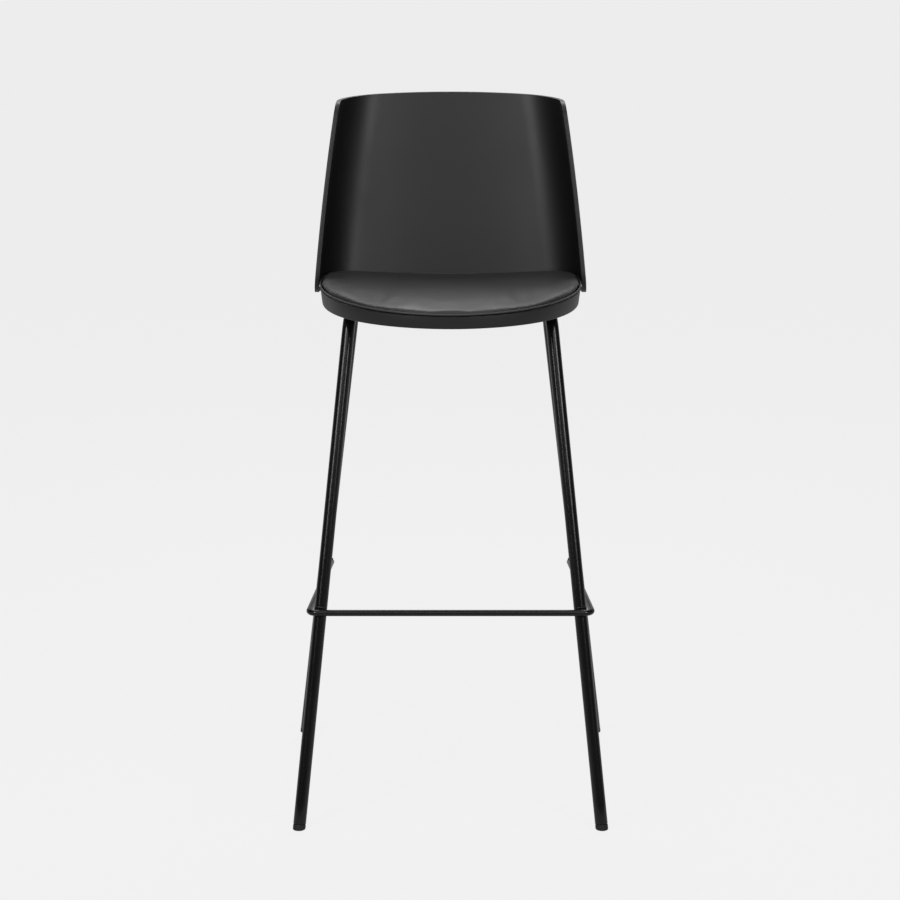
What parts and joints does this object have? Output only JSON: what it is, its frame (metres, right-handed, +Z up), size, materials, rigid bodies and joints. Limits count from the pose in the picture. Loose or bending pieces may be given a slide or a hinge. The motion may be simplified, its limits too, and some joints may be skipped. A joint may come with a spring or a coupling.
{
  "type": "bar stool",
  "caption": "Bar stool with a wrap-round back shell, a padded seat, splayed bent tube legs and a front footrest rod.",
  "frame": {"origin": "on the floor, under the middle of the stool's footprint", "axes": "+Z up, the sitter faces -Y, +X to the sitter's left, which is the right side seen from the front"},
  "size_m": [0.495, 0.4806, 1.0545],
  "materials": {
    "shell_plastic": "satin moulded plastic, fine grain",
    "pan_plastic": "satin moulded plastic, fine grain",
    "cover": "smooth matt artificial leather",
    "foam": "open-cell seat foam",
    "board": "raw plywood",
    "frame_steel": "fine matt black powder coat on steel",
    "glide": "matt nylon",
    "zinc_steel": "zinc-plated steel",
    "brass": "turned brass"
  },
  "bodies": {
    "root": {"back_shell": "shell_plastic", "seat_pan": "pan_plastic", "seat_cover": "cover", "seat_foam": "foam", "seat_board": "board", "leg_hoop_left": "frame_steel", "leg_hoop_right": "frame_steel", "cross_tube": "frame_steel", "seat_plate": "frame_steel", "footrest": "frame_steel", "glide_front_left": "glide", "glide_rear_left": "glide", "glide_front_right": "glide", "glide_rear_right": "glide", "pad_tnut_front_left": "zinc_steel", "pad_tnut_rear_left": "zinc_steel", "pad_tnut_front_right": "zinc_steel", "pad_tnut_rear_right": "zinc_steel", "pad_screw_front_left": "zinc_steel", "pad_screw_rear_left": "zinc_steel", "pad_screw_front_right": "zinc_steel", "pad_screw_rear_right": "zinc_steel", "plate_screw_front_left": "zinc_steel", "plate_screw_rear_left": "zinc_steel", "plate_screw_front_right": "zinc_steel", "plate_screw_rear_right": "zinc_steel", "plate_washer_front_left": "zinc_steel", "plate_washer_rear_left": "zinc_steel", "plate_washer_front_right": "zinc_steel", "plate_washer_rear_right": "zinc_steel", "pan_insert_front_left": "brass", "pan_insert_rear_left": "brass", "pan_insert_front_right": "brass", "pan_insert_rear_right": "brass", "shell_insert_wing_left": "brass", "shell_insert_wing_right": "brass", "shell_insert_back_left_1": "brass", "shell_insert_back_left_2": "brass", "shell_insert_back_right_1": "brass", "shell_insert_back_right_2": "brass", "shell_screw_wing_left": "zinc_steel", "shell_screw_wing_right": "zinc_steel", "shell_screw_back_left_1": "zinc_steel", "shell_screw_back_left_2": "zinc_steel", "shell_screw_back_right_1": "zinc_steel", "shell_screw_back_right_2": "zinc_steel"}
  },
  "joints": []
}
